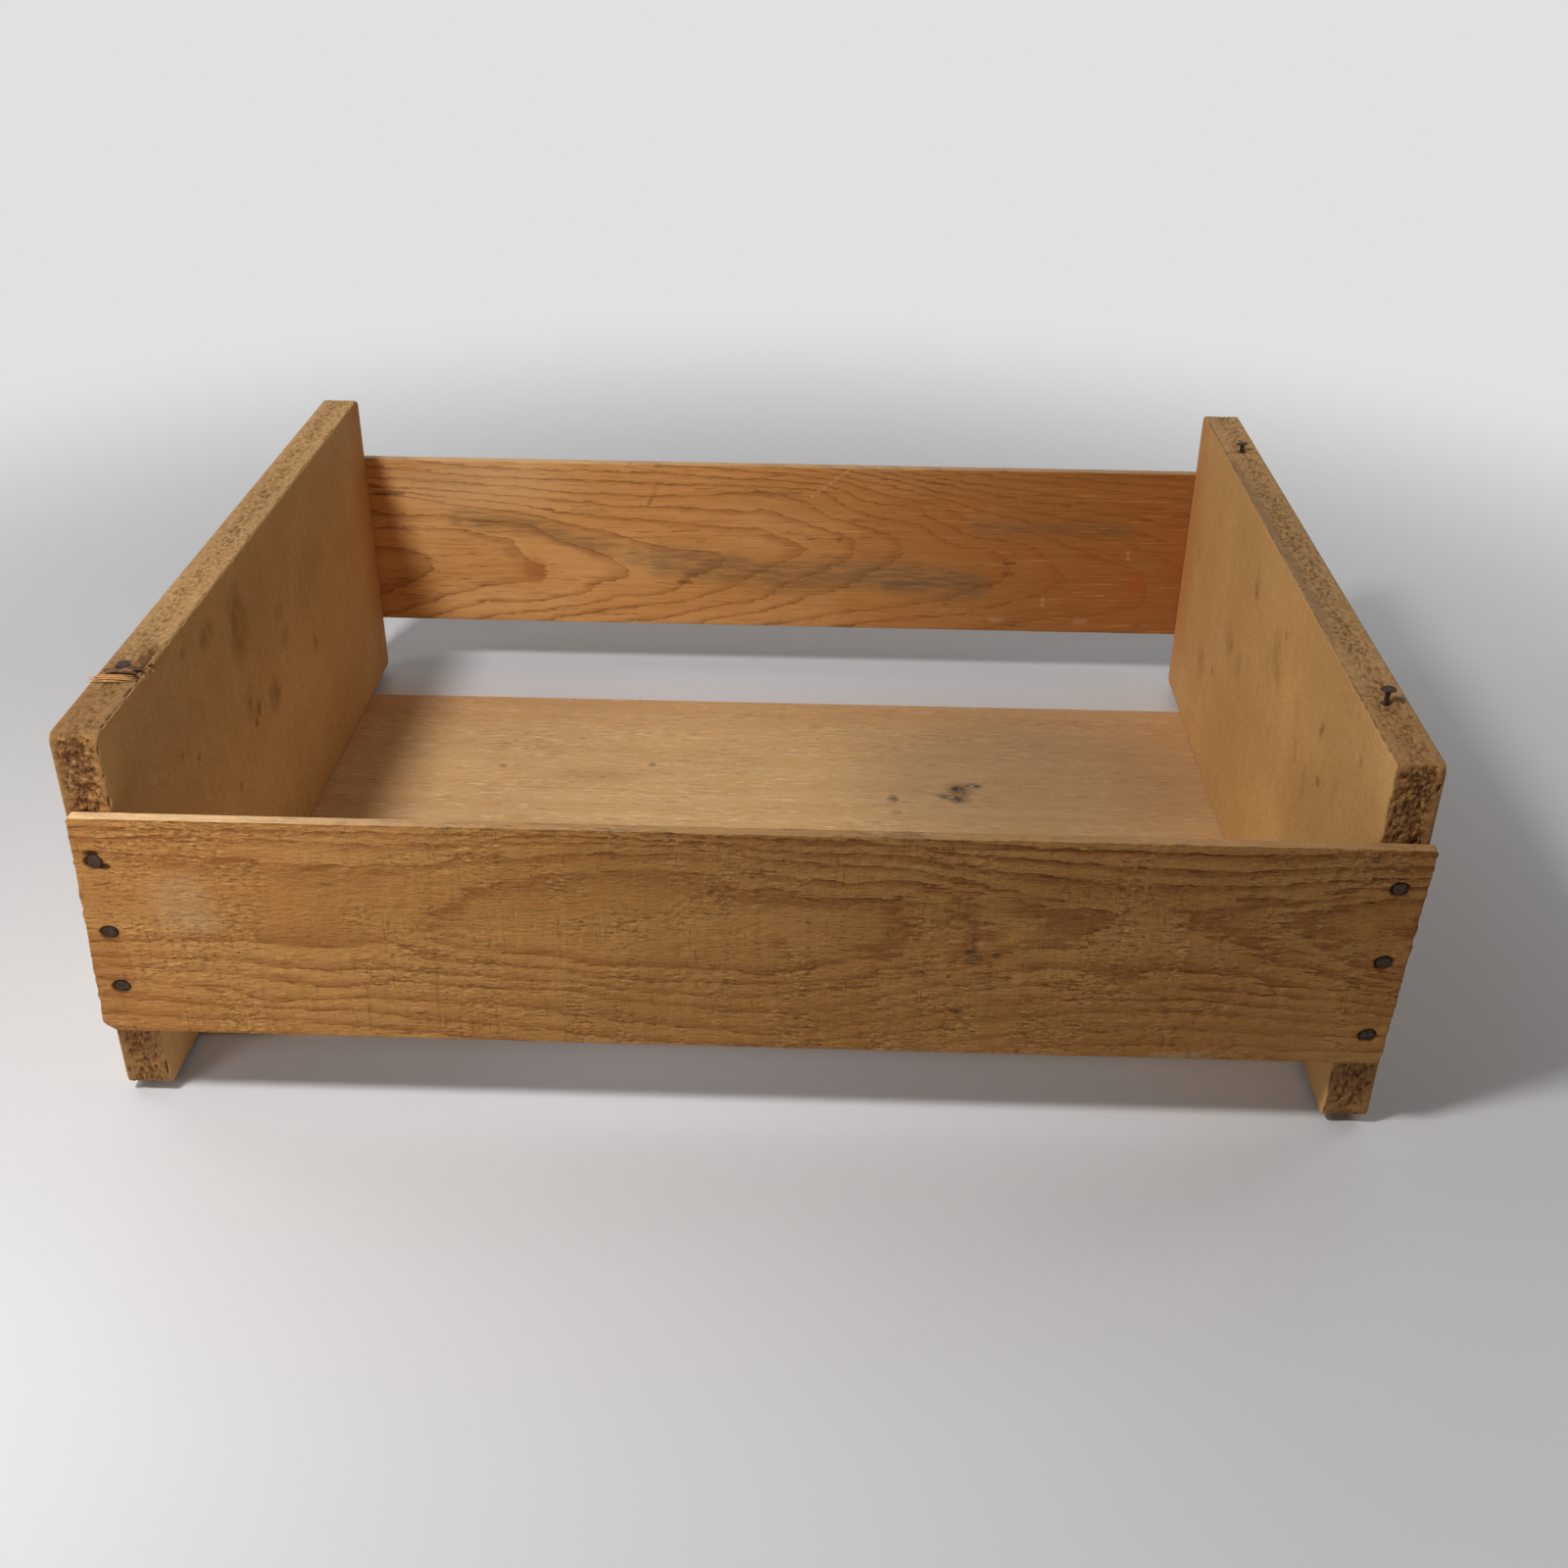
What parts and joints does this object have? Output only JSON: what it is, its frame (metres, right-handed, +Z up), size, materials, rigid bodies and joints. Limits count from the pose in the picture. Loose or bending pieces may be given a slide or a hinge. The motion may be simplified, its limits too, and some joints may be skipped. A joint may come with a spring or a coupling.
{
  "type": "wooden crate",
  "caption": "Open shallow fruit crate: chipboard ends, a thin slat nailed across the front and the back, and a thin bottom board nailed under the ends.",
  "frame": {"origin": "middle of the rectangle that the crate covers, on the floor that the bottom board lies on", "axes": "+X to the crate's right along its length, +Y from the front slat to the back slat, +Z up"},
  "size_m": [0.4454, 0.3502, 0.152],
  "materials": {
    "chipboard": "matt pressed chipboard with coarse, pitted edges",
    "sawn_softwood": "rough sawn, weathered golden brown",
    "planed_softwood": "smooth, aged orange brown",
    "pale_softwood": "smooth, pale tan, dry",
    "rusty_steel": "dull, lightly rusted wire nails",
    "splinter_wood": "torn, fresh orange fibres"
  },
  "bodies": {
    "root": {"left_end": "chipboard", "right_end": "chipboard", "front_slat": "sawn_softwood", "back_slat": "planed_softwood", "bottom_board": "pale_softwood", "front_nails_left": "rusty_steel", "front_nails_right": "rusty_steel", "back_nails_left": "rusty_steel", "back_nails_right": "rusty_steel", "bottom_nails_left": "rusty_steel", "bottom_nails_right": "rusty_steel", "lid_nail_right_front": "rusty_steel", "lid_nail_right_back": "rusty_steel", "lid_nail_left_front": "rusty_steel", "lid_splinter": "splinter_wood"}
  },
  "joints": []
}
